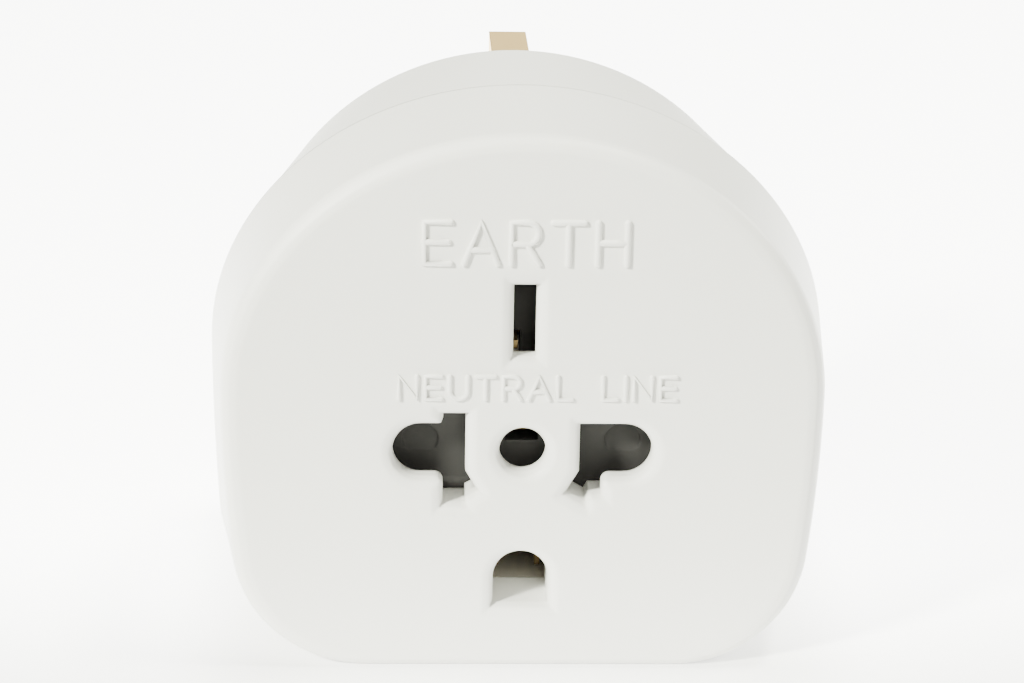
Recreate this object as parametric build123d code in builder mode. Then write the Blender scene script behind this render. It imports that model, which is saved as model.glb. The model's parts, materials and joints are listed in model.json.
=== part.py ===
from build123d import *
from math import cos, radians, sin
import os

# Travel adapter: a multi-standard socket in front, a fused three-pin plug behind.
# Millimetres. X runs to the right seen from the socket, Y from the socket face to the plug, Z up.
# The origin is on the plug face, midway between the line and neutral pins.
# A depth is measured from the socket face towards the plug.

# Housing
body_depth = 37.9
front_cover_depth = 18.0
base_z = -22.75
shoulder_z = 4.2
wall = 2.4
front_wall = 2.4
plug_wall = 2.6
face_edge_radius = 1.4
plug_edge_radius = 1.6
seam_step = 0.15
lip_length = 1.6
base_flat = 0.05
edge_steps = 3
loft_spans = 3
fit_clearance = 0.1

# Housing outline at the socket face, at the seam and at the plug face
face_top = 29.15
face_half_width = 27.85
face_foot_half_width = 25.1
face_corner_radius = 12.4
seam_top = 29.75
seam_half_width = 29.85
seam_foot_half_width = 28.6
seam_corner_radius = 10.2
plug_top = 29.15
plug_half_width = 26.2
plug_foot_half_width = 25.0
plug_corner_radius = 10.0

# Socket openings: heights are measured from the line of the round pins
socket_z = -1.0
round_pin_pitch = 19.0
round_hole_diameter = 5.2
centre_hole_diameter = 4.36
blade_pitch = 12.7
blade_drop = 0.8
blade_slot_width = 2.1
neutral_slot_height = 8.8
line_slot_height = 7.2
slant_pitch = 13.3
slant_drop = 1.75
slant_angle = 30.0
slant_slot_width = 2.05
slant_slot_length = 6.5
earth_slot_rise = 12.65
earth_slot_width = 2.1
earth_slot_height = 6.85
ground_below_blades = 11.91
ground_width = 5.2
ground_floor_drop = 2.65
opening_joint_radius = 0.8
joint_tolerance = 0.001
rim_radius = 1.0
rim_steps = 2
slot_collar_depth = 4.6

# Shutter and its two springs
slide_clearance = 0.3
shutter_thickness = 4.2
shutter_half_width = 13.0
shutter_rise = 6.6
shutter_drop = 6.3
shutter_travel = 9.0
ramp_rise = 5.0
scoop_diameter = 3.4
scoop_depth = 1.5
tongue_width = 5.0
tongue_thickness = 1.5
tongue_margin = 0.6
window_width = 3.1
stop_width = 2.5
spring_x = 8.0
spring_diameter = 3.4
spring_wire = 0.5
spring_turns = 4
runs_per_turn = 8
spring_peg_diameter = 1.6
spring_peg_height = 1.6
spring_room = 3.4
guide_width = 1.2
collar_wall = 1.1
ground_collar_depth = 7.0

# Contact carrier, contacts and insulating plate
carrier_half_width = 16.0
carrier_depth = 12.8
carrier_wall = 1.8
carrier_top = 18.5
carrier_bottom = -18.5
carrier_corner_radius = 1.5
pocket_width = 9.8
pocket_height = 11.6
pole_pocket_x = 9.6
earth_pocket_width = 6.6
entry_clearance = 0.3
strap_thickness = 0.6
strap_overlap = 0.7
leaf_thickness = 0.5
leaf_reach = 9.9
leaf_bend = 5.5
leaf_lip = 2.2
ground_grip = 0.85
tab_front = 3.2
tab_overlap = 0.2
tab_drop = 0.05
tab_height = 0.8
plate_thickness = 1.6

# Plug pins
pin_spacing = 22.23
earth_pin_rise = 22.23
pole_pin_width = 6.35
pole_pin_height = 4.0
pole_pin_length = 17.7
earth_pin_width = 4.0
earth_pin_height = 8.0
earth_pin_length = 22.73
pin_tip_length = 2.2
pin_tip_inset = 0.9
pin_flange = 0.6
pin_flange_thickness = 2.0
pin_seat_depth = 8.0
pin_boss_wall = 1.6
sleeve_length = 9.5
sleeve_embed = 1.0
sleeve_thickness = 0.6

# Fuse, its clips and its carrier
fuse_length = 25.4
fuse_diameter = 6.35
fuse_cap_length = 6.3
fuse_cap_wall = 0.4
fuse_bore = 3.6
fuse_z = -12.0
fuse_grip = 0.25
clip_width = 4.0
clip_arm_length = 6.6
clip_inset = 0.3
link_height = 4.0
link_width = 2.0
fuse_carrier_height = 9.4
fuse_carrier_plate = 2.4
fuse_carrier_rim = 1.2
cheek_thickness = 1.4
cradle_lip = 0.9
cradle_half_length = 5.5
pry_slot_width = 6.0
pry_slot_depth = 1.2
well_wall = 1.2

# Cover screws
screw_x = 20.6
screw_z = 8.0
screw_diameter = 2.6
screw_length = 17.0
screw_head_diameter = 5.4
screw_head_height = 2.0
screw_seat_depth = 7.5
screw_boss_diameter = 6.4
screw_boss_wall = 1.2
screw_slot_width = 0.9
screw_slot_depth = 0.9

# Places that follow from the sizes above
half_turn = 180
blade_z = socket_z - blade_drop
slant_z = socket_z - slant_drop
earth_slot_z = socket_z + earth_slot_rise
earth_slot_low = earth_slot_z - earth_slot_height / 2
earth_slot_high = earth_slot_z + earth_slot_height / 2
ground_z = blade_z - ground_below_blades
shutter_front = front_wall + slide_clearance
shutter_back = shutter_front + shutter_thickness
carrier_front = shutter_back + slide_clearance
carrier_back = carrier_front + carrier_depth
strap_back = carrier_back + strap_thickness
plate_back = strap_back + plate_thickness
clip_back = plate_back + strap_thickness
neutral_slot_top = blade_z + neutral_slot_height / 2
neutral_slot_floor = blade_z - neutral_slot_height / 2
line_slot_floor = blade_z - line_slot_height / 2
shutter_top = socket_z + shutter_rise
shutter_foot = socket_z - shutter_drop
shutter_toe = slot_collar_depth + slide_clearance
ramp_foot = line_slot_floor + slide_clearance
tab_left = -earth_slot_width / 2 - tab_overlap
tab_right = -earth_slot_width / 2 + leaf_thickness
tab_low = earth_slot_low - tab_drop
window_low = tab_low - slide_clearance - shutter_travel
window_high = earth_slot_high + fit_clearance - shutter_travel
spring_floor = shutter_top
spring_ceiling = shutter_top + shutter_travel + spring_room
fuse_radius = fuse_diameter / 2
fuse_depth = clip_back + clip_inset + fuse_radius
fuse_carrier_half_width = fuse_length / 2 + slide_clearance + cheek_thickness + fuse_carrier_rim
clip_x = fuse_length / 2 - clip_inset - clip_width / 2
link_x = pole_pocket_x - pocket_width / 2 - strap_overlap + link_width / 2


def depth_y(depth):
    """Y of a depth behind the socket face."""
    return depth - body_depth


def depth_plane(depth):
    """Plane at a depth, facing the front, with X and Z as its local axes."""
    return Plane.XZ.offset(body_depth - depth)


def outline_size(depth, at_face, at_seam, at_plug):
    """A size of the outline at a depth, drawn straight from the face to the seam and on to the plug."""
    if depth < front_cover_depth:
        return at_face + (at_seam - at_face) * depth / front_cover_depth
    share = (depth - front_cover_depth) / (body_depth - front_cover_depth)
    return at_seam + (at_plug - at_seam) * share


def housing_outline(depth, inset=0.0, step=0.0):
    """Outline of the housing at a depth: elliptical crown, drawn-in sides and rounded lower corners.

    The inset draws in the whole outline, the step only the crown and the sides.
    """
    narrowing = inset + step
    top = outline_size(depth, face_top, seam_top, plug_top) - narrowing
    side = outline_size(depth, face_half_width, seam_half_width, plug_half_width) - narrowing
    foot = outline_size(depth, face_foot_half_width, seam_foot_half_width, plug_foot_half_width) - narrowing
    corner = outline_size(depth, face_corner_radius, seam_corner_radius, plug_corner_radius) - narrowing
    base = base_z - base_flat + inset
    with BuildSketch(depth_plane(depth)) as outline:
        with BuildLine():
            EllipticalCenterArc((0, shoulder_z), side, top - shoulder_z, arc_size=half_turn)
            TangentArc((-side, shoulder_z), (-foot, base), tangent=(0, -1))
            Line((-foot, base), (foot, base))
            TangentArc((side, shoulder_z), (foot, base), tangent=(0, -1))
        make_face()
        fillet(outline.vertices().group_by(Axis.Y)[0], corner)
    return outline.sketch


def stations(start, end):
    """Depths of the sections of a loft, evenly spaced from start to end."""
    return [start + (end - start) * i / loft_spans for i in range(loft_spans + 1)]


def rounded_edge(radius, steps=edge_steps):
    """Distance in from an end face and inset of the outline, at steps round an edge's radius."""
    angles = [radians(90 * i / steps) for i in range(steps)]
    return [(radius * (1 - cos(t)), radius * (1 - sin(t))) for t in angles]


def pole_shapes(side, depth, margin=0.0):
    """Shapes that run together in the opening of one pole: round pin, flat blade and slanted blade."""
    round_x = round_pin_pitch / 2
    blade_x = blade_pitch / 2
    hole_radius = round_hole_diameter / 2 + margin
    slot_top = neutral_slot_top if side < 0 else socket_z + round_hole_diameter / 2
    slot_floor = neutral_slot_floor if side < 0 else line_slot_floor
    with BuildSketch(depth_plane(depth)) as round_hole:
        with Locations((side * round_x, socket_z)):
            Circle(hole_radius)
        with Locations((side * (round_x + blade_x) / 2, socket_z)):
            Rectangle(round_x - blade_x, 2 * hole_radius)
    with BuildSketch(depth_plane(depth)) as blade_slot:
        with Locations((side * blade_x, (slot_floor + slot_top) / 2)):
            Rectangle(blade_slot_width + 2 * margin, slot_top - slot_floor + 2 * margin)
    with BuildSketch(depth_plane(depth)) as slant_slot:
        with Locations((side * slant_pitch / 2, slant_z)):
            Rectangle(
                slant_slot_width + 2 * margin,
                slant_slot_length + 2 * margin,
                rotation=-side * slant_angle,
            )
    return [round_hole.sketch, blade_slot.sketch, slant_slot.sketch]


def is_joint(vertex):
    """Whether a corner of an opening is where the edges of a round hole and a blade slot meet."""
    slot_edge = (blade_pitch + blade_slot_width) / 2
    off_slot = abs(abs(vertex.X) - slot_edge)
    off_hole = abs(abs(vertex.Y - socket_z) - round_hole_diameter / 2)
    return max(off_slot, off_hole) < joint_tolerance


def earth_shapes(depth, margin=0.0):
    """Openings on the centre line: earth slot above, round hole, and ground hole below."""
    with BuildSketch(depth_plane(depth)) as centre_hole:
        with Locations((0, socket_z)):
            Circle(centre_hole_diameter / 2 + margin)
    with BuildSketch(depth_plane(depth)) as earth_slot:
        with Locations((0, earth_slot_z)):
            Rectangle(earth_slot_width + 2 * margin, earth_slot_height + 2 * margin)
    with BuildSketch(depth_plane(depth)) as ground_hole:
        with Locations((0, ground_z)):
            Circle(ground_width / 2 + margin)
            Rectangle(
                ground_width + 2 * margin,
                ground_floor_drop + margin,
                align=(Align.CENTER, Align.MAX),
            )
    return [centre_hole.sketch, earth_slot.sketch, ground_hole.sketch]


def socket_shapes(depth, margin=0.0):
    """All the shapes of the socket's openings at one depth."""
    return [
        *pole_shapes(-1, depth, margin),
        *pole_shapes(1, depth, margin),
        *earth_shapes(depth, margin),
    ]


# Front cover: tapering shell with the socket openings and the shutter's guides
with BuildPart() as front_cover:
    face_edge = [housing_outline(depth, inset) for depth, inset in rounded_edge(face_edge_radius)]
    flank = [housing_outline(d) for d in stations(face_edge_radius, front_cover_depth)]
    loft(sections=[*face_edge, *flank], ruled=True)
    cavity = [housing_outline(d, wall) for d in stations(front_wall, front_cover_depth)]
    loft(sections=cavity, ruled=True, mode=Mode.SUBTRACT)
    split(bisect_by=Plane.XY.offset(base_z), keep=Keep.TOP)

    # Lip that centres the rear cover
    with BuildSketch(depth_plane(front_cover_depth)) as lip:
        add(housing_outline(front_cover_depth, wall / 2 + fit_clearance))
        add(housing_outline(front_cover_depth, wall), mode=Mode.SUBTRACT)
    extrude(amount=-lip_length)

    # Collars that lengthen the lower ends of the flat and slanted slots
    with BuildSketch(depth_plane(front_wall)) as slot_collars:
        for side in (-1, 1):
            for shape in pole_shapes(side, front_wall, collar_wall)[1:]:
                add(shape)
        with Locations((0, line_slot_floor)):
            Rectangle(
                2 * shutter_half_width,
                shutter_rise + shutter_drop,
                align=(Align.CENTER, Align.MIN),
                mode=Mode.SUBTRACT,
            )
    extrude(amount=-(slot_collar_depth - front_wall))

    # Deep collar of the ground hole
    with BuildSketch(depth_plane(front_wall)) as ground_collar:
        add(earth_shapes(front_wall, collar_wall)[-1])
    extrude(amount=-(ground_collar_depth - front_wall))

    # Guides beside the shutter, joined to the seats of its springs above and to its stops below
    guide_x = shutter_half_width + slide_clearance
    stop_z = shutter_foot - slide_clearance - guide_width
    with BuildSketch(depth_plane(front_wall)) as guides:
        with Locations((guide_x, stop_z), (-guide_x - guide_width, stop_z)):
            Rectangle(guide_width, spring_ceiling - stop_z, align=Align.MIN)
        seat_x = tongue_width / 2 + slide_clearance
        with Locations((seat_x, spring_ceiling), (-guide_x - guide_width, spring_ceiling)):
            Rectangle(guide_x + guide_width - seat_x, guide_width, align=Align.MIN)
        with Locations((guide_x - stop_width, stop_z), (-guide_x - guide_width, stop_z)):
            Rectangle(stop_width + guide_width, guide_width, align=Align.MIN)
    extrude(amount=-(carrier_front - front_wall))

    # Screw bosses
    with BuildSketch(depth_plane(front_wall)) as bosses:
        with Locations((-screw_x, screw_z), (screw_x, screw_z)):
            Circle(screw_boss_diameter / 2)
    extrude(amount=-(front_cover_depth - front_wall))
    with BuildSketch(depth_plane(front_cover_depth)) as pilot_holes:
        with Locations((-screw_x, screw_z), (screw_x, screw_z)):
            Circle(screw_diameter / 2 + fit_clearance)
    extrude(amount=front_cover_depth - 2 * front_wall, mode=Mode.SUBTRACT)

    # Socket openings, rounded where hole and slot meet and round their rims
    with BuildSketch(depth_plane(0)) as openings:
        for shape in socket_shapes(0):
            add(shape)
        fillet(openings.vertices().filter_by(is_joint), opening_joint_radius)
    extrude(amount=-ground_collar_depth, mode=Mode.SUBTRACT)
    rim_stages = [socket_shapes(depth, margin) for depth, margin in rounded_edge(rim_radius, rim_steps)]
    for rim in zip(*rim_stages, socket_shapes(rim_radius)):
        loft(sections=rim, ruled=True, mode=Mode.SUBTRACT)

# Rear cover: shell with the seats of the pins, the fuse well and the screw bosses
pole_pins = [(-pin_spacing / 2, 0), (pin_spacing / 2, 0)]
plug_inside = body_depth - plug_wall
with BuildPart() as rear_cover:
    flank = [
        housing_outline(d, step=seam_step)
        for d in stations(front_cover_depth, body_depth - plug_edge_radius)
    ]
    plug_edge = [
        housing_outline(body_depth - depth, inset, seam_step)
        for depth, inset in rounded_edge(plug_edge_radius)
    ]
    loft(sections=[*flank, *reversed(plug_edge)], ruled=True)
    cavity = [housing_outline(d, wall) for d in stations(front_cover_depth, plug_inside)]
    loft(sections=cavity, ruled=True, mode=Mode.SUBTRACT)
    split(bisect_by=Plane.XY.offset(base_z), keep=Keep.TOP)

    # Rebate for the front cover's lip
    with BuildSketch(depth_plane(front_cover_depth)) as rebate:
        add(housing_outline(front_cover_depth, wall / 2))
    extrude(amount=-(lip_length + fit_clearance), mode=Mode.SUBTRACT)

    # Bosses that hold the pins, the well of the fuse carrier and the ribs that clamp the carrier
    with BuildSketch(depth_plane(plug_inside)) as pin_bosses:
        with Locations(*pole_pins):
            Rectangle(pole_pin_width + 2 * pin_boss_wall, pole_pin_height + 2 * pin_boss_wall)
        with Locations((0, earth_pin_rise)):
            Rectangle(earth_pin_width + 2 * pin_boss_wall, earth_pin_height + 2 * pin_boss_wall)
    extrude(amount=pin_seat_depth - plug_wall)
    with BuildSketch(depth_plane(plug_inside)) as fuse_well:
        with Locations((0, fuse_z)):
            Rectangle(
                2 * (fuse_carrier_half_width + slide_clearance + well_wall),
                fuse_carrier_height + 2 * (slide_clearance + well_wall),
            )
    extrude(amount=plug_inside - fuse_depth)
    with BuildSketch(depth_plane(plug_inside)) as clamp_ribs:
        with Locations((-pin_spacing / 2, carrier_top), (pin_spacing / 2, carrier_top)):
            Rectangle(well_wall, pole_pocket_x, align=(Align.CENTER, Align.MAX))
    extrude(amount=plug_inside - plate_back)

    # Screw bosses with deep counterbores
    with BuildSketch(depth_plane(plug_inside)) as screw_bosses:
        with Locations((-screw_x, screw_z), (screw_x, screw_z)):
            Circle(screw_head_diameter / 2 + slide_clearance + screw_boss_wall)
    extrude(amount=plug_inside - front_cover_depth)
    with Locations(*[Plane.XZ.rotated((180, 0, 0)) * Pos(x, -screw_z) for x in (-screw_x, screw_x)]):
        CounterBoreHole(
            screw_diameter / 2 + slide_clearance,
            screw_head_diameter / 2 + slide_clearance,
            screw_seat_depth,
            body_depth - front_cover_depth,
        )

    # Passages for the pins and for the fuse carrier
    with BuildSketch(depth_plane(body_depth)) as passages:
        with Locations(*pole_pins):
            Rectangle(pole_pin_width + 2 * fit_clearance, pole_pin_height + 2 * fit_clearance)
        with Locations((0, earth_pin_rise)):
            Rectangle(earth_pin_width + 2 * fit_clearance, earth_pin_height + 2 * fit_clearance)
        with Locations((0, fuse_z)):
            Rectangle(
                2 * (fuse_carrier_half_width + slide_clearance),
                fuse_carrier_height + 2 * slide_clearance,
            )
    extrude(amount=body_depth - front_cover_depth, mode=Mode.SUBTRACT)

# Shutter: a wedge with a scoop for each round pin and a tongue behind the earth slot
with BuildPart() as shutter:
    with BuildSketch(Plane.YZ) as wedge:
        with BuildLine():
            Polyline(
                (depth_y(shutter_front), shutter_top),
                (depth_y(shutter_back), shutter_top),
                (depth_y(shutter_back), shutter_foot),
                (depth_y(shutter_toe), shutter_foot),
                (depth_y(shutter_toe), ramp_foot),
                (depth_y(shutter_front), socket_z + ramp_rise),
                close=True,
            )
        make_face()
    extrude(amount=shutter_half_width, both=True)
    with BuildSketch(depth_plane(shutter_back)) as tongue:
        with Locations((0, shutter_top)):
            Rectangle(
                tongue_width,
                earth_slot_high + tongue_margin - shutter_top,
                align=(Align.CENTER, Align.MIN),
            )
    extrude(amount=tongue_thickness)

    # Window that rises to the earth slot, and the slit in which the earth tab stands until then
    with BuildSketch(depth_plane(0)) as window:
        with Locations((0, window_low)):
            Rectangle(window_width, window_high - window_low, align=(Align.CENTER, Align.MIN))
        with Locations((tab_left - slide_clearance, window_low)):
            Rectangle(
                tab_right - tab_left + 2 * slide_clearance,
                tab_low + tab_height + slide_clearance - window_low,
                align=Align.MIN,
            )
    extrude(amount=-carrier_front, mode=Mode.SUBTRACT)
    with BuildSketch(depth_plane(0)) as scoops:
        with Locations((-round_pin_pitch / 2, socket_z), (round_pin_pitch / 2, socket_z)):
            Circle(scoop_diameter / 2)
    extrude(amount=-(shutter_front + scoop_depth), mode=Mode.SUBTRACT)
    peg_y = depth_y((shutter_front + shutter_back) / 2)
    with Locations((-spring_x, peg_y, shutter_top), (spring_x, peg_y, shutter_top)):
        Cylinder(
            spring_peg_diameter / 2,
            spring_peg_height,
            align=(Align.CENTER, Align.CENTER, Align.MIN),
        )


def make_shutter_spring(side):
    """Coil spring between the shutter and its seat in the front cover, wound in short straight runs."""
    seat_gap = spring_wire / 2 + fit_clearance
    coil_radius = (spring_diameter - spring_wire) / 2
    runs = spring_turns * runs_per_turn
    rise = (spring_ceiling - spring_floor - 2 * seat_gap) / runs
    points = []
    for i in range(runs + 1):
        turn = radians(360 * i / runs_per_turn)
        x = side * spring_x + coil_radius * cos(turn)
        y = peg_y + coil_radius * sin(turn)
        points.append((x, y, spring_floor + seat_gap + i * rise))
    with BuildPart() as spring:
        with BuildLine() as coil:
            Polyline(*points)
        with BuildSketch(Plane(origin=coil.line @ 0, z_dir=coil.line % 0)):
            Rectangle(spring_wire, spring_wire)
        sweep(path=coil.line, transition=Transition.RIGHT)
    return spring.part


shutter_spring_left = make_shutter_spring(-1)
shutter_spring_right = make_shutter_spring(1)

# Contact carrier: block with a pocket for each contact, open towards the plug
pole_pockets = [(-pole_pocket_x, socket_z), (pole_pocket_x, socket_z)]
earth_pocket_top = earth_slot_high + entry_clearance
earth_pocket_bottom = ground_z - ground_floor_drop - entry_clearance
with BuildPart() as contact_carrier:
    with BuildSketch(depth_plane(carrier_front)) as block:
        with Locations((0, (carrier_top + carrier_bottom) / 2)):
            RectangleRounded(
                2 * carrier_half_width, carrier_top - carrier_bottom, carrier_corner_radius
            )
    extrude(amount=-carrier_depth)
    with BuildSketch(depth_plane(carrier_back)) as pockets:
        with Locations(*pole_pockets):
            Rectangle(pocket_width, pocket_height)
        with Locations((0, (earth_pocket_top + earth_pocket_bottom) / 2)):
            Rectangle(earth_pocket_width, earth_pocket_top - earth_pocket_bottom)
    extrude(amount=carrier_depth - carrier_wall, mode=Mode.SUBTRACT)
    with BuildSketch(depth_plane(carrier_front)) as entries:
        with Locations(*pole_pockets):
            Rectangle(pocket_width - 2 * strap_overlap, neutral_slot_height + 2 * entry_clearance)
        for shape in earth_shapes(carrier_front, entry_clearance):
            add(shape)
    extrude(amount=-carrier_wall, mode=Mode.SUBTRACT)


def leaf_outline(root_x, grip_x, lip_x):
    """Plan of one contact leaf: straight root, bent-in grip and flared lip."""
    root_y = depth_y(carrier_back)
    edge = [
        (root_x, root_y),
        (root_x, root_y - leaf_bend),
        (grip_x, root_y - leaf_reach + leaf_lip),
        (lip_x, root_y - leaf_reach),
    ]
    other_edge = [(x + leaf_thickness, y) for x, y in reversed(edge)]
    with BuildSketch() as plan:
        with BuildLine():
            Polyline(*edge, *other_edge, close=True)
        make_face()
    return plan.sketch


def make_pole_contact(side, tail_length=0.0):
    """Contact of one pole: three leaves bent from a strap that lies on the carrier."""
    strap_width = pocket_width + 2 * strap_overlap
    strap_height = pocket_height + 2 * strap_overlap
    inner_x = blade_pitch / 2 - blade_slot_width / 2 - leaf_thickness
    middle_x = blade_pitch / 2 + blade_slot_width / 2
    outer_x = round_pin_pitch / 2 + round_hole_diameter / 2
    leaf_low = line_slot_floor
    leaf_high = socket_z + round_hole_diameter / 2
    with BuildPart() as contact:
        with BuildSketch(depth_plane(carrier_back)) as strap:
            with Locations((side * pole_pocket_x, socket_z)):
                Rectangle(strap_width, strap_height)
            if tail_length:
                with Locations((side * link_x, socket_z - strap_height / 2)):
                    Rectangle(link_width, tail_length, align=(Align.CENTER, Align.MAX))
        extrude(amount=-strap_thickness)
        for root_x, grip_x, low in (
            (inner_x, inner_x + leaf_thickness / 2, leaf_low),
            (middle_x, middle_x - leaf_thickness / 2, socket_z + leaf_thickness),
            (outer_x, outer_x - leaf_thickness, leaf_low),
        ):
            plan = leaf_outline(root_x, grip_x, root_x)
            if side < 0:
                plan = plan.mirror(Plane.YZ)
            extrude(Pos(0, 0, low) * plan, amount=leaf_high - low, dir=(0, 0, 1))
    return contact.part


neutral_contact = make_pole_contact(-1)
line_contact = make_pole_contact(
    1, socket_z - pocket_height / 2 - strap_overlap - fuse_z + link_height / 2
)

# Earth contact: one strap with a pair of leaves behind each of the three openings
centre_radius = centre_hole_diameter / 2
earth_leaves = [
    (earth_slot_low, earth_slot_high, earth_slot_width / 2),
    (socket_z - centre_radius, socket_z + centre_radius, centre_radius),
    (ground_z - ground_floor_drop, ground_z + ground_width / 2, ground_width / 2 - ground_grip),
]
earth_strap_top = earth_pin_rise + earth_pin_height / 2
with BuildPart() as earth_contact:
    with BuildSketch(depth_plane(carrier_back)) as earth_strap:
        with Locations((0, earth_pocket_bottom)):
            Rectangle(
                earth_pocket_width - 2 * entry_clearance,
                earth_strap_top - earth_pocket_bottom,
                align=(Align.CENTER, Align.MIN),
            )
    extrude(amount=-strap_thickness)
    leaf_root = earth_pocket_width / 2 - entry_clearance - leaf_thickness
    for low, high, grip_x in earth_leaves:
        plan = leaf_outline(leaf_root, grip_x, grip_x)
        for leaf in (plan, plan.mirror(Plane.YZ)):
            extrude(Pos(0, 0, low) * leaf, amount=high - low, dir=(0, 0, 1))

    # Tab that reaches forward into the earth slot, so that this blade meets its contact first
    with BuildSketch(depth_plane(tab_front)) as tab:
        with Locations((tab_left, tab_low)):
            Rectangle(tab_right - tab_left, tab_height, align=Align.MIN)
    extrude(amount=-(carrier_back - leaf_reach + leaf_thickness - tab_front))

# Insulating plate between the contacts and the fuse
with BuildPart() as insulating_plate:
    with BuildSketch(depth_plane(strap_back)) as plate:
        with Locations((0, (carrier_top + carrier_bottom) / 2)):
            RectangleRounded(
                2 * carrier_half_width, carrier_top - carrier_bottom, carrier_corner_radius
            )
        with Locations((-pin_spacing / 2, 0)):
            Rectangle(
                pole_pin_width + 2 * slide_clearance,
                pole_pin_height + 2 * slide_clearance,
                mode=Mode.SUBTRACT,
            )
        with Locations((link_x, fuse_z)):
            Rectangle(
                link_width + 2 * slide_clearance,
                link_height + 2 * slide_clearance,
                mode=Mode.SUBTRACT,
            )
        with Locations((0, earth_pin_rise)):
            Rectangle(
                earth_pin_width + 2 * slide_clearance,
                earth_pin_height + 2 * slide_clearance,
                mode=Mode.SUBTRACT,
            )
    extrude(amount=-plate_thickness)


def make_pin(x, z, width, height, length, inner_depth, sleeve=0.0):
    """Plug pin with an inner flange, a tapered tip and, under a sleeve, a thinner neck."""
    reach = length + body_depth - inner_depth
    with BuildPart() as pin:
        with BuildSketch(depth_plane(inner_depth)) as section:
            with Locations((x, z)):
                Rectangle(width, height)
        extrude(amount=-reach)
        tip = pin.faces().sort_by(Axis.Y)[-1]
        chamfer(tip.edges(), pin_tip_inset, pin_tip_length, reference=tip)
        with BuildSketch(depth_plane(body_depth - pin_seat_depth)) as flange:
            with Locations((x, z)):
                Rectangle(width + 2 * pin_flange, height + 2 * pin_flange)
        extrude(amount=pin_flange_thickness)
        if sleeve:
            with BuildSketch(depth_plane(body_depth - sleeve_embed)) as neck:
                with Locations((x, z)):
                    Rectangle(width, height)
                    Rectangle(width - 2 * sleeve, height - 2 * sleeve, mode=Mode.SUBTRACT)
            extrude(amount=-(sleeve_length + sleeve_embed), mode=Mode.SUBTRACT)
    return pin.part


def make_sleeve(x):
    """Insulating sleeve on the root of a pole pin, flush with the pin."""
    with BuildPart() as sleeve:
        with BuildSketch(depth_plane(body_depth - sleeve_embed)) as ring:
            with Locations((x, 0)):
                Rectangle(pole_pin_width, pole_pin_height)
                Rectangle(
                    pole_pin_width - 2 * sleeve_thickness,
                    pole_pin_height - 2 * sleeve_thickness,
                    mode=Mode.SUBTRACT,
                )
        extrude(amount=-(sleeve_length + sleeve_embed))
    return sleeve.part


neutral_pin = make_pin(
    -pin_spacing / 2, 0, pole_pin_width, pole_pin_height, pole_pin_length, strap_back, sleeve_thickness
)
line_pin = make_pin(
    pin_spacing / 2, 0, pole_pin_width, pole_pin_height, pole_pin_length, clip_back, sleeve_thickness
)
earth_pin = make_pin(
    0, earth_pin_rise, earth_pin_width, earth_pin_height, earth_pin_length, strap_back
)
neutral_pin_sleeve = make_sleeve(-pin_spacing / 2)
line_pin_sleeve = make_sleeve(pin_spacing / 2)


def make_fuse_clip(side):
    """Spring clip round one fuse cap, with its link to the line pin or to the line contact."""
    arm_offset = fuse_radius + fuse_grip + strap_thickness / 2
    with BuildPart() as clip:
        with BuildSketch(depth_plane(plate_back)) as web:
            with Locations((side * clip_x, fuse_z)):
                Rectangle(clip_width, 2 * arm_offset + strap_thickness)
            if side > 0:
                with Locations((pin_spacing / 2, fuse_z)):
                    Rectangle(
                        pole_pin_width,
                        pole_pin_height / 2 - fuse_z,
                        align=(Align.CENTER, Align.MIN),
                    )
            else:
                link_length = clip_x + link_x + link_width / 2
                with Locations((-clip_x, fuse_z)):
                    Rectangle(link_length, link_height, align=(Align.MIN, Align.CENTER))
        extrude(amount=-strap_thickness)
        with BuildSketch(depth_plane(clip_back)) as arms:
            with Locations((side * clip_x, fuse_z + arm_offset), (side * clip_x, fuse_z - arm_offset)):
                Rectangle(clip_width, strap_thickness)
        extrude(amount=-clip_arm_length)
        if side < 0:
            with BuildSketch(depth_plane(strap_back)) as tab:
                with Locations((link_x, fuse_z)):
                    Rectangle(link_width, link_height)
            extrude(amount=-plate_thickness)
    return clip.part


line_fuse_clip = make_fuse_clip(1)
load_fuse_clip = make_fuse_clip(-1)

# Fuse: a ceramic tube with a metal cap on each end
fuse_plane = Plane.YZ.offset(-fuse_length / 2)
fuse_centre = (depth_y(fuse_depth), fuse_z)
with BuildPart() as fuse_tube:
    with BuildSketch(fuse_plane.offset(fuse_cap_wall)) as tube:
        with Locations(fuse_centre):
            Circle(fuse_radius - fuse_cap_wall)
            Circle(fuse_bore / 2, mode=Mode.SUBTRACT)
    extrude(amount=fuse_length - 2 * fuse_cap_wall)


def make_fuse_cap(start, direction):
    """Cup-shaped cap over one end of the fuse tube."""
    with BuildPart() as cap:
        with BuildSketch(Plane.YZ.offset(start)) as cup:
            with Locations(fuse_centre):
                Circle(fuse_radius)
        extrude(amount=direction * fuse_cap_length)
        with BuildSketch(Plane.YZ.offset(start + direction * fuse_cap_wall)) as bore:
            with Locations(fuse_centre):
                Circle(fuse_radius - fuse_cap_wall)
        extrude(amount=direction * fuse_cap_length, mode=Mode.SUBTRACT)
    return cap.part


fuse_cap_left = make_fuse_cap(-fuse_length / 2, 1)
fuse_cap_right = make_fuse_cap(fuse_length / 2, -1)

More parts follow.
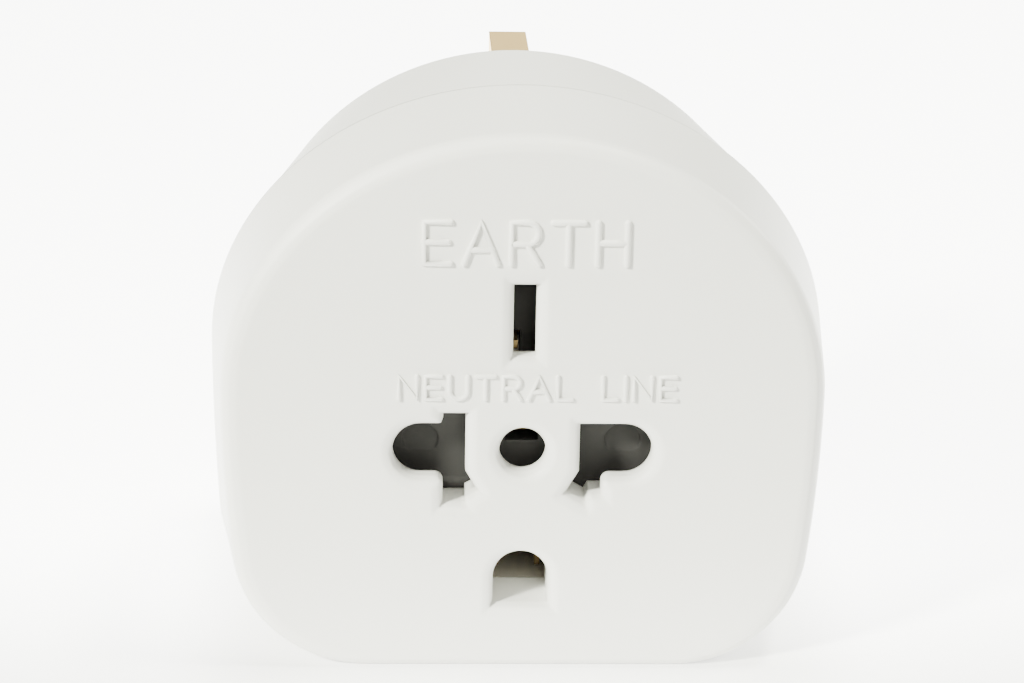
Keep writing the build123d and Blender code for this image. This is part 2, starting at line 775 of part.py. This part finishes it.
# Fuse carrier: a drawer with a cheek at each end of the fuse and lips round its middle
with BuildPart() as fuse_carrier:
    with BuildSketch(depth_plane(body_depth)) as drawer_face:
        with Locations((0, fuse_z)):
            Rectangle(2 * fuse_carrier_half_width, fuse_carrier_height)
    extrude(amount=fuse_carrier_plate)
    with BuildSketch(depth_plane(body_depth - fuse_carrier_plate)) as cheeks:
        cheek_x = fuse_length / 2 + slide_clearance + cheek_thickness / 2
        with Locations((-cheek_x, fuse_z), (cheek_x, fuse_z)):
            Rectangle(cheek_thickness, fuse_diameter)
        lip_z = fuse_radius + fit_clearance + cradle_lip / 2
        with Locations((0, fuse_z + lip_z), (0, fuse_z - lip_z)):
            Rectangle(2 * cradle_half_length, cradle_lip)
    extrude(amount=body_depth - fuse_carrier_plate - fuse_depth)
    with BuildSketch(depth_plane(body_depth)) as pry_slot:
        with Locations((0, fuse_z + fuse_carrier_height / 2)):
            Rectangle(pry_slot_width, pry_slot_depth, align=(Align.CENTER, Align.MAX))
    extrude(amount=pry_slot_depth, mode=Mode.SUBTRACT)


def make_cover_screw(x):
    """Cover screw from the plug side, with a slotted head."""
    with BuildPart() as screw:
        with BuildSketch(depth_plane(body_depth - screw_seat_depth)) as head:
            with Locations((x, screw_z)):
                Circle(screw_head_diameter / 2)
        extrude(amount=-screw_head_height)
        with BuildSketch(depth_plane(body_depth - screw_seat_depth + screw_head_height)) as slot:
            with Locations((x, screw_z)):
                Rectangle(screw_head_diameter, screw_slot_width)
        extrude(amount=screw_slot_depth, mode=Mode.SUBTRACT)
        with BuildSketch(depth_plane(body_depth - screw_seat_depth)) as shank:
            with Locations((x, screw_z)):
                Circle(screw_diameter / 2)
        extrude(amount=screw_length)
    return screw.part


cover_screw_left = make_cover_screw(-screw_x)
cover_screw_right = make_cover_screw(screw_x)

pieces = {
    "front_cover": front_cover.part,
    "rear_cover": rear_cover.part,
    "shutter": shutter.part,
    "shutter_spring_left": shutter_spring_left,
    "shutter_spring_right": shutter_spring_right,
    "contact_carrier": contact_carrier.part,
    "insulating_plate": insulating_plate.part,
    "neutral_contact": neutral_contact,
    "line_contact": line_contact,
    "earth_contact": earth_contact.part,
    "neutral_pin": neutral_pin,
    "line_pin": line_pin,
    "earth_pin": earth_pin,
    "neutral_pin_sleeve": neutral_pin_sleeve,
    "line_pin_sleeve": line_pin_sleeve,
    "line_fuse_clip": line_fuse_clip,
    "load_fuse_clip": load_fuse_clip,
    "fuse_tube": fuse_tube.part,
    "fuse_cap_left": fuse_cap_left,
    "fuse_cap_right": fuse_cap_right,
    "fuse_carrier": fuse_carrier.part,
    "cover_screw_left": cover_screw_left,
    "cover_screw_right": cover_screw_right,
}
os.makedirs("parts", exist_ok=True)
for name, piece in pieces.items():
    piece.label = name
    export_step(piece, f"parts/{name}.step")
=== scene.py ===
import json
import math

import bpy
from mathutils import Matrix, Vector


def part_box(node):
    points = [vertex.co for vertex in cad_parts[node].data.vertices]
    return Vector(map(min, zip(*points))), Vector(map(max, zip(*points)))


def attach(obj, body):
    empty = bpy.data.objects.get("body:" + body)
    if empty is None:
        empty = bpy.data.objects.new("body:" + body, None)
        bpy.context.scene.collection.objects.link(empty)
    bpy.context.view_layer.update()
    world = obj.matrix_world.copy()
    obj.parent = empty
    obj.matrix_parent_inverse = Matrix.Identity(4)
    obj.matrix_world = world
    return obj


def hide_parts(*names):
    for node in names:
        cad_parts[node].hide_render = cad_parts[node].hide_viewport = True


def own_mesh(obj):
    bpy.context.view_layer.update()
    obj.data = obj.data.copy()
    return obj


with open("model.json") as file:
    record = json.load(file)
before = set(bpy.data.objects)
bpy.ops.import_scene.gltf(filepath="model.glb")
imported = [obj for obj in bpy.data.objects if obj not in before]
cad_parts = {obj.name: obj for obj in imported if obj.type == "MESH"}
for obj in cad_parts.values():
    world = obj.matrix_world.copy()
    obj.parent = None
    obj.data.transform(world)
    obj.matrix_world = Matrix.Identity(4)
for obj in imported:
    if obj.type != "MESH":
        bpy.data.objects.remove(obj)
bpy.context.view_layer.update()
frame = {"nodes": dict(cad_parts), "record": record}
nodes = frame["nodes"]

MM = 0.001
WHITE = (1.0, 1.0, 1.0, 1.0)
FACE_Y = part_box("front_cover")[0].y
FLOOR_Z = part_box("front_cover")[0].z
SOCKET_Z = -1.0 * MM

# Materials: noise scales are in waves per metre, a grain is a scale and a depth
CLOUD_SCALE = 60.0
CLOUD_START, CLOUD_END = 0.3, 0.7
GLOSS_SCALE = 180.0
FINE_GRAIN = (5000.0, 0.01 * MM)
COARSE_GRAIN = (3500.0, 0.03 * MM)
GRAIN_DETAIL = 2.0
GRAIN_STRENGTH = 0.2
PLASTIC_IOR = 1.5
PLASTIC_EDGE = 0.3 * MM
LINE_SCALE = 900.0
LINE_DETAIL = 4.0
LINE_STRENGTH = 0.1
LINE_DEPTH = 0.02 * MM
METAL_EDGE = 0.12 * MM
EDGE_SAMPLES = 12


def new_material(name):
    """A material with its node tree and its shader."""
    material = bpy.data.materials.new(name)
    material.use_nodes = True
    tree = material.node_tree
    shader = tree.nodes["Principled BSDF"]
    return material, tree, shader


def noise(tree, scale, detail=3.0, stretch=(1.0, 1.0, 1.0)):
    """Object-space noise."""
    coordinates = tree.nodes.new("ShaderNodeTexCoord")
    mapping = tree.nodes.new("ShaderNodeMapping")
    mapping.inputs["Scale"].default_value = stretch
    texture = tree.nodes.new("ShaderNodeTexNoise")
    texture.inputs["Scale"].default_value = scale
    texture.inputs["Detail"].default_value = detail
    tree.links.new(coordinates.outputs["Object"], mapping.inputs["Vector"])
    tree.links.new(mapping.outputs["Vector"], texture.inputs["Vector"])
    return texture


def tint(tree, shader, source, low, high):
    """Base colour between two colours, driven by a texture."""
    node = tree.nodes.new("ShaderNodeValToRGB")
    first, last = node.color_ramp.elements
    first.position = CLOUD_START
    first.color = (*low, 1.0)
    last.position = CLOUD_END
    last.color = (*high, 1.0)
    tree.links.new(source.outputs["Fac"], node.inputs["Fac"])
    tree.links.new(node.outputs["Color"], shader.inputs["Base Color"])


def roughen(tree, shader, source, low, high):
    """Roughness between two values, driven by a texture."""
    node = tree.nodes.new("ShaderNodeMapRange")
    node.inputs["To Min"].default_value = low
    node.inputs["To Max"].default_value = high
    tree.links.new(source.outputs["Fac"], node.inputs["Value"])
    tree.links.new(node.outputs["Result"], shader.inputs["Roughness"])


def bump(tree, shader, source, strength, distance, edge_radius):
    """Fine relief from a texture, over edges that are softened as mould and tumbling leave them."""
    node = tree.nodes.new("ShaderNodeBump")
    if edge_radius:
        edges = tree.nodes.new("ShaderNodeBevel")
        edges.samples = EDGE_SAMPLES
        edges.inputs["Radius"].default_value = edge_radius
        tree.links.new(edges.outputs["Normal"], node.inputs["Normal"])
    node.inputs["Strength"].default_value = strength
    node.inputs["Distance"].default_value = distance
    tree.links.new(source.outputs["Fac"], node.inputs["Height"])
    tree.links.new(node.outputs["Normal"], shader.inputs["Normal"])


def plastic(name, low, high, rough, grain, specular=0.5, edge_radius=PLASTIC_EDGE):
    """Moulded plastic: slight clouding, uneven gloss and a fine grain."""
    material, tree, shader = new_material(name)
    tint(tree, shader, noise(tree, CLOUD_SCALE), low, high)
    roughen(tree, shader, noise(tree, GLOSS_SCALE), *rough)
    grain_scale, grain_depth = grain
    texture = noise(tree, grain_scale, GRAIN_DETAIL)
    bump(tree, shader, texture, GRAIN_STRENGTH, grain_depth, edge_radius)
    shader.inputs["IOR"].default_value = PLASTIC_IOR
    shader.inputs["Specular IOR Level"].default_value = specular
    return material


def metal(name, low, high, rough, stretch, edge_tint=(1.0, 1.0, 1.0)):
    """Bare metal with faint drawing lines, which run along the axis with the least stretch."""
    material, tree, shader = new_material(name)
    lines = noise(tree, LINE_SCALE, LINE_DETAIL, stretch)
    tint(tree, shader, lines, low, high)
    roughen(tree, shader, lines, *rough)
    bump(tree, shader, lines, LINE_STRENGTH, LINE_DEPTH, METAL_EDGE)
    shader.inputs["Metallic"].default_value = 1.0
    shader.inputs["Specular Tint"].default_value = (*edge_tint, 1.0)
    return material


PLASTICS = {
    "white_plastic": dict(
        low=(0.768, 0.766, 0.735),
        high=(0.783, 0.781, 0.75),
        rough=(0.4, 0.48),
        grain=FINE_GRAIN,
        specular=0.35,
        edge_radius=0.65 * MM,
    ),
    "grey_plastic": dict(
        low=(0.036, 0.035, 0.0345),
        high=(0.042, 0.041, 0.0405),
        rough=(0.6, 0.7),
        grain=COARSE_GRAIN,
        specular=0.15,
    ),
    "carrier_plastic": dict(
        low=(0.44, 0.41, 0.36),
        high=(0.47, 0.44, 0.39),
        rough=(0.5, 0.6),
        grain=COARSE_GRAIN,
        specular=0.35,
    ),
    "black_plastic": dict(
        low=(0.012, 0.012, 0.012),
        high=(0.018, 0.018, 0.018),
        rough=(0.42, 0.55),
        grain=COARSE_GRAIN,
        specular=0.2,
    ),
    "fuse_ceramic": dict(
        low=(0.70, 0.66, 0.56),
        high=(0.76, 0.72, 0.62),
        rough=(0.6, 0.72),
        grain=COARSE_GRAIN,
    ),
}
METALS = {
    "spring_steel": dict(
        low=(0.52, 0.52, 0.52),
        high=(0.62, 0.62, 0.61),
        rough=(0.25, 0.38),
        stretch=(1.0, 1.0, 0.2),
    ),
    "contact_brass": dict(
        low=(0.30, 0.21, 0.10),
        high=(0.38, 0.28, 0.14),
        rough=(0.4, 0.5),
        stretch=(1.0, 0.15, 1.0),
    ),
    "pin_brass": dict(
        low=(0.80, 0.575, 0.265),
        high=(0.88, 0.655, 0.325),
        rough=(0.28, 0.4),
        stretch=(1.0, 0.05, 1.0),
        edge_tint=(1.0, 0.9, 0.65),
    ),
    "cap_metal": dict(
        low=(0.62, 0.61, 0.58),
        high=(0.70, 0.69, 0.66),
        rough=(0.18, 0.3),
        stretch=(0.2, 1.0, 1.0),
    ),
}
materials = {name: plastic(name, **values) for name, values in PLASTICS.items()}
materials |= {name: metal(name, **values) for name, values in METALS.items()}
for subpart in frame["record"]["subparts"]:
    node = nodes[subpart["node"]]
    node.data.materials.clear()
    node.data.materials.append(materials[subpart["material_slot"]])

# Round wire, for the springs and for the strokes of the letters
WIRE_RESOLUTION = 3


def new_wire(name, thickness):
    """An empty curve that gives its splines a round section."""
    curve = bpy.data.curves.new(name, "CURVE")
    curve.dimensions = "3D"
    curve.bevel_depth = thickness / 2
    curve.bevel_resolution = WIRE_RESOLUTION
    curve.use_fill_caps = True
    return curve


def add_spline(curve, places):
    """A spline through places, each with the share of the full thickness it has there."""
    spline = curve.splines.new("POLY")
    spline.points.add(len(places) - 1)
    for point, (place, share) in zip(spline.points, places):
        point.co = (*place, 1.0)
        point.radius = share


def wire_object(name, curve, material):
    """The curve as a smooth mesh that rides the housing."""
    outline = bpy.data.objects.new(name + "_outline", curve)
    bpy.context.scene.collection.objects.link(outline)
    bpy.context.view_layer.update()
    evaluated = outline.evaluated_get(bpy.context.evaluated_depsgraph_get())
    mesh = bpy.data.meshes.new_from_object(evaluated)
    bpy.data.objects.remove(outline)
    mesh.name = name
    for polygon in mesh.polygons:
        polygon.use_smooth = True
    mesh.materials.clear()
    mesh.materials.append(material)
    wire = bpy.data.objects.new(name, mesh)
    bpy.context.scene.collection.objects.link(wire)
    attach(wire, "housing")
    return wire


# Shutter springs: round wire, coiled in the room of each CAD spring
SPRING_WIRE = 0.5 * MM
SPRING_TURNS = 5
STEPS_PER_TURN = 24


def coil_spring(name, node):
    """A coil in place of a CAD spring, in the same room."""
    low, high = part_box(node)
    middle = (low + high) / 2
    radius = (high.x - low.x - SPRING_WIRE) / 2
    length = high.z - low.z
    foot = low.z + SPRING_WIRE / 2
    steps = SPRING_TURNS * STEPS_PER_TURN
    places = []
    for i in range(steps + 1):
        turn = math.tau * i / STEPS_PER_TURN
        x = middle.x + radius * math.cos(turn)
        y = middle.y + radius * math.sin(turn)
        z = foot + (length - SPRING_WIRE) * i / steps
        places.append(((x, y, z), 1.0))
    curve = new_wire(name, SPRING_WIRE)
    add_spline(curve, places)
    spring = wire_object(name, curve, materials["spring_steel"])
    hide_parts(node)
    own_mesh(spring)


coil_spring("spring_coil_left", "shutter_spring_left")
coil_spring("spring_coil_right", "shutter_spring_right")

# Raised lettering: plain names of the poles, drawn as single strokes with round ends
letter_plastic = plastic("letter_plastic", **PLASTICS["white_plastic"] | {"edge_radius": 0.0})


def arc(centre, radius, start, end, steps):
    """Points on an arc, from one angle to another in degrees."""
    turns = [math.radians(start + (end - start) * i / steps) for i in range(steps + 1)]
    return [(centre[0] + radius * math.cos(t), centre[1] + radius * math.sin(t)) for t in turns]


# Each letter's width and strokes, for a letter one unit high
GLYPHS = {
    "A": (0.82, [[(0, 0), (0.41, 1), (0.82, 0)], [(0.14, 0.34), (0.68, 0.34)]]),
    "E": (0.64, [[(0.64, 1), (0, 1), (0, 0), (0.64, 0)], [(0, 0.52), (0.58, 0.52)]]),
    "H": (0.72, [[(0, 0), (0, 1)], [(0.72, 0), (0.72, 1)], [(0, 0.52), (0.72, 0.52)]]),
    "I": (0.0, [[(0, 0), (0, 1)]]),
    "L": (0.58, [[(0, 1), (0, 0), (0.58, 0)]]),
    "N": (0.72, [[(0, 0), (0, 1), (0.72, 0), (0.72, 1)]]),
    "R": (
        0.68,
        [
            [(0, 0), (0, 1)] + arc((0.4, 0.74), 0.26, 90, -90, 10) + [(0, 0.48)],
            [(0.38, 0.48), (0.68, 0)],
        ],
    ),
    "T": (0.76, [[(0, 1), (0.76, 1)], [(0.38, 1), (0.38, 0)]]),
    "U": (0.72, [[(0, 1)] + arc((0.36, 0.36), 0.36, 180, 360, 16) + [(0.72, 1)]]),
}
LETTER_GAP = 0.34
WORD_GAP = 0.9

# A round end: distances past the end of a stroke, in shares of its radius
CAP_STEPS = (0.0, 0.4, 0.7, 0.9, 1.0)
CAP_TIP = 0.02


def rounded_stroke(points, radius):
    """Stroke points with a share of the thickness each, tapering to a round end at both ends."""
    first = (points[0] - points[1]).normalized()
    last = (points[-1] - points[-2]).normalized()
    caps = [(step, max(math.sqrt(1 - step * step), CAP_TIP)) for step in CAP_STEPS]
    start = [(points[0] + first * radius * step, share) for step, share in reversed(caps)]
    end = [(points[-1] + last * radius * step, share) for step, share in caps]
    return start + [(point, 1.0) for point in points[1:-1]] + end


def letter_row(name, text, left, right, foot, height, stroke, proud):
    """One row of raised letters on the socket face, from left to right on a foot line."""
    width = sum(WORD_GAP if c == " " else GLYPHS[c][0] + LETTER_GAP for c in text) - LETTER_GAP
    scale = (right - left) / width
    curve = new_wire(name, stroke)
    depth = FACE_Y + stroke / 2 - proud
    x = left
    for character in text:
        if character == " ":
            x += WORD_GAP * scale
            continue
        advance, strokes = GLYPHS[character]
        for line in strokes:
            points = [Vector((x + px * scale, depth, foot + pz * height)) for px, pz in line]
            add_spline(curve, rounded_stroke(points, stroke / 2))
        x += (advance + LETTER_GAP) * scale
    wire_object(name, curve, letter_plastic)


letter_row(
    "upper_lettering",
    "EARTH",
    left=-9.3 * MM,
    right=9.1 * MM,
    foot=SOCKET_Z + 18.35 * MM,
    height=3.9 * MM,
    stroke=0.6 * MM,
    proud=0.42 * MM,
)
letter_row(
    "lower_lettering",
    "NEUTRAL LINE",
    left=-11.5 * MM,
    right=14.0 * MM,
    foot=SOCKET_Z + 5.35 * MM,
    height=2.2 * MM,
    stroke=0.45 * MM,
    proud=0.34 * MM,
)

# Floor: pale paper that glows behind the object, so that the background comes out white
FLOOR_HALF = 3.0
FLOOR_CORNERS = ((-1, -1), (1, -1), (1, 1), (-1, 1))
FLOOR_ROUGHNESS = 0.9
floor_mesh = bpy.data.meshes.new("floor")
floor_mesh.from_pydata(
    [(x * FLOOR_HALF, y * FLOOR_HALF, FLOOR_Z) for x, y in FLOOR_CORNERS], [], [(0, 1, 2, 3)]
)
floor = bpy.data.objects.new("floor", floor_mesh)
bpy.context.scene.collection.objects.link(floor)
floor_material, floor_tree, floor_shader = new_material("floor_paper")
floor_mesh.materials.append(floor_material)


def floor_change(source, start, end, low, high):
    """A floor value that goes smoothly from low to high while a length goes from start to end."""
    node = floor_tree.nodes.new("ShaderNodeMapRange")
    node.interpolation_type = "SMOOTHSTEP"
    node.inputs["From Min"].default_value = start
    node.inputs["From Max"].default_value = end
    node.inputs["To Min"].default_value = low
    node.inputs["To Max"].default_value = high
    floor_tree.links.new(source, node.inputs["Value"])
    return node.outputs["Result"]


def floor_vector(operation, first, second=(0.0, 0.0, 0.0)):
    """One step of vector arithmetic on floor places, with a fixed second vector."""
    node = floor_tree.nodes.new("ShaderNodeVectorMath")
    node.operation = operation
    node.inputs[1].default_value = second
    floor_tree.links.new(first, node.inputs[0])
    return node


def floor_product(first, second):
    """Two floor values multiplied."""
    node = floor_tree.nodes.new("ShaderNodeMath")
    node.operation = "MULTIPLY"
    floor_tree.links.new(first, node.inputs[0])
    floor_tree.links.new(second, node.inputs[1])
    return node.outputs["Value"]


floor_place = floor_tree.nodes.new("ShaderNodeTexCoord").outputs["Object"]
floor_axes = floor_tree.nodes.new("ShaderNodeSeparateXYZ")
floor_tree.links.new(floor_place, floor_axes.inputs["Vector"])
floor_depth = floor_axes.outputs["Y"]

# The paper is darker in front of the object
TONE_START, TONE_END = -110 * MM, -40 * MM
TONE_FRONT, TONE_BACK = 0.4, 0.94
floor_tone = floor_change(floor_depth, TONE_START, TONE_END, TONE_FRONT, TONE_BACK)

# The glow sets in beside the object and fades far away from it
GLOW_START, GLOW_END = -70 * MM, 0.0
GLOW_FRONT, GLOW_BACK = 0.3, 6.5
GLOW_MIDDLE = (0.0, 100 * MM, FLOOR_Z)
FADE_START, FADE_END = 260 * MM, 1000 * MM
FADE_SHARE = 0.08
floor_reach = floor_vector("DISTANCE", floor_place, GLOW_MIDDLE).outputs["Value"]
glow = floor_product(
    floor_change(floor_depth, GLOW_START, GLOW_END, GLOW_FRONT, GLOW_BACK),
    floor_change(floor_reach, FADE_START, FADE_END, 1.0, FADE_SHARE),
)

# It is weaker close to where the object stands: a painted contact shadow that dims the glow there
STAND_MIDDLE = (0.0, -19 * MM, FLOOR_Z)
STAND_HALF = (22 * MM, 17 * MM, 0.0)
PAINTED_SHADOW_REACH = 14 * MM
PAINTED_SHADOW_SHARE = 0.25
beside = floor_vector("SUBTRACT", floor_place, STAND_MIDDLE).outputs["Vector"]
beside = floor_vector("ABSOLUTE", beside).outputs["Vector"]
beside = floor_vector("SUBTRACT", beside, STAND_HALF).outputs["Vector"]
beside = floor_vector("MAXIMUM", beside).outputs["Vector"]
floor_gap = floor_vector("LENGTH", beside).outputs["Value"]
glow = floor_product(glow, floor_change(floor_gap, 0.0, PAINTED_SHADOW_REACH, PAINTED_SHADOW_SHARE, 1.0))

floor_tree.links.new(floor_tone, floor_shader.inputs["Base Color"])
floor_tree.links.new(glow, floor_shader.inputs["Emission Strength"])
floor_shader.inputs["Emission Color"].default_value = WHITE
floor_shader.inputs["Roughness"].default_value = FLOOR_ROUGHNESS

# Lights: the key rakes across the face from the upper left, so that the letters show
LIGHT_COLOUR = (0.99, 1.0, 0.87)
LIGHT_TARGET = Vector((0.0, -18 * MM, 2 * MM))
WORLD_STRENGTH = 0.28


def area_light(name, place, size, energy):
    """Soft square light that faces the object, with its size in metres and its energy in watts."""
    data = bpy.data.lights.new(name, "AREA")
    data.shape = "SQUARE"
    data.size = size
    data.energy = energy
    data.color = LIGHT_COLOUR
    light = bpy.data.objects.new(name, data)
    light.location = place
    light.rotation_euler = (LIGHT_TARGET - Vector(place)).to_track_quat("-Z", "Y").to_euler()
    bpy.context.scene.collection.objects.link(light)


area_light("key_light", place=(-0.6, -0.56, 0.48), size=0.14, energy=33.0)
area_light("front_light", place=(0.1, -0.62, 0.3), size=0.2, energy=1.5)
area_light("top_light", place=(0.25, -0.05, 0.65), size=0.12, energy=7.0)
area_light("right_light", place=(0.55, 0.35, 0.25), size=0.25, energy=5.5)
area_light("back_light", place=(0.2, 0.62, 0.26), size=0.5, energy=1.5)

world = bpy.data.worlds.new("studio")
world.use_nodes = True
background = world.node_tree.nodes["Background"]
background.inputs["Color"].default_value = WHITE
background.inputs["Strength"].default_value = WORLD_STRENGTH
bpy.context.scene.world = world

# Camera, fitted to the openings and the outline in the photo
CAMERA_PLACE = Vector((-10.855 * MM, FACE_Y - 242.594 * MM, 90.492 * MM))
CAMERA_PITCH = math.radians(18.358)
CAMERA_YAW = math.radians(2.275)
CAMERA_ROLL = math.radians(1.029)
FOCAL_PIXELS = 2800.0
IMAGE_WIDTH = 1024.0
CENTRE_PIXEL_X = 511.8
SENSOR_WIDTH = 36.0
CLIP_START = 10 * MM
camera_data = bpy.data.cameras.new("camera")
camera_data.sensor_width = SENSOR_WIDTH
camera_data.lens = FOCAL_PIXELS / IMAGE_WIDTH * SENSOR_WIDTH
camera_data.shift_x = (IMAGE_WIDTH / 2 - CENTRE_PIXEL_X) / IMAGE_WIDTH
camera_data.clip_start = CLIP_START
forward = Vector(
    (
        math.sin(CAMERA_YAW) * math.cos(CAMERA_PITCH),
        math.cos(CAMERA_YAW) * math.cos(CAMERA_PITCH),
        -math.sin(CAMERA_PITCH),
    )
)
level = Vector((math.cos(CAMERA_YAW), -math.sin(CAMERA_YAW), 0.0))
upright = level.cross(forward)
right = math.cos(CAMERA_ROLL) * level + math.sin(CAMERA_ROLL) * upright
up = math.cos(CAMERA_ROLL) * upright - math.sin(CAMERA_ROLL) * level
camera_turn = Matrix((right, up, -forward)).transposed().to_4x4()
camera = bpy.data.objects.new("camera", camera_data)
camera.matrix_world = Matrix.Translation(CAMERA_PLACE) @ camera_turn
bpy.context.scene.collection.objects.link(camera)
bpy.context.scene.camera = camera

bpy.context.view_layer.update()
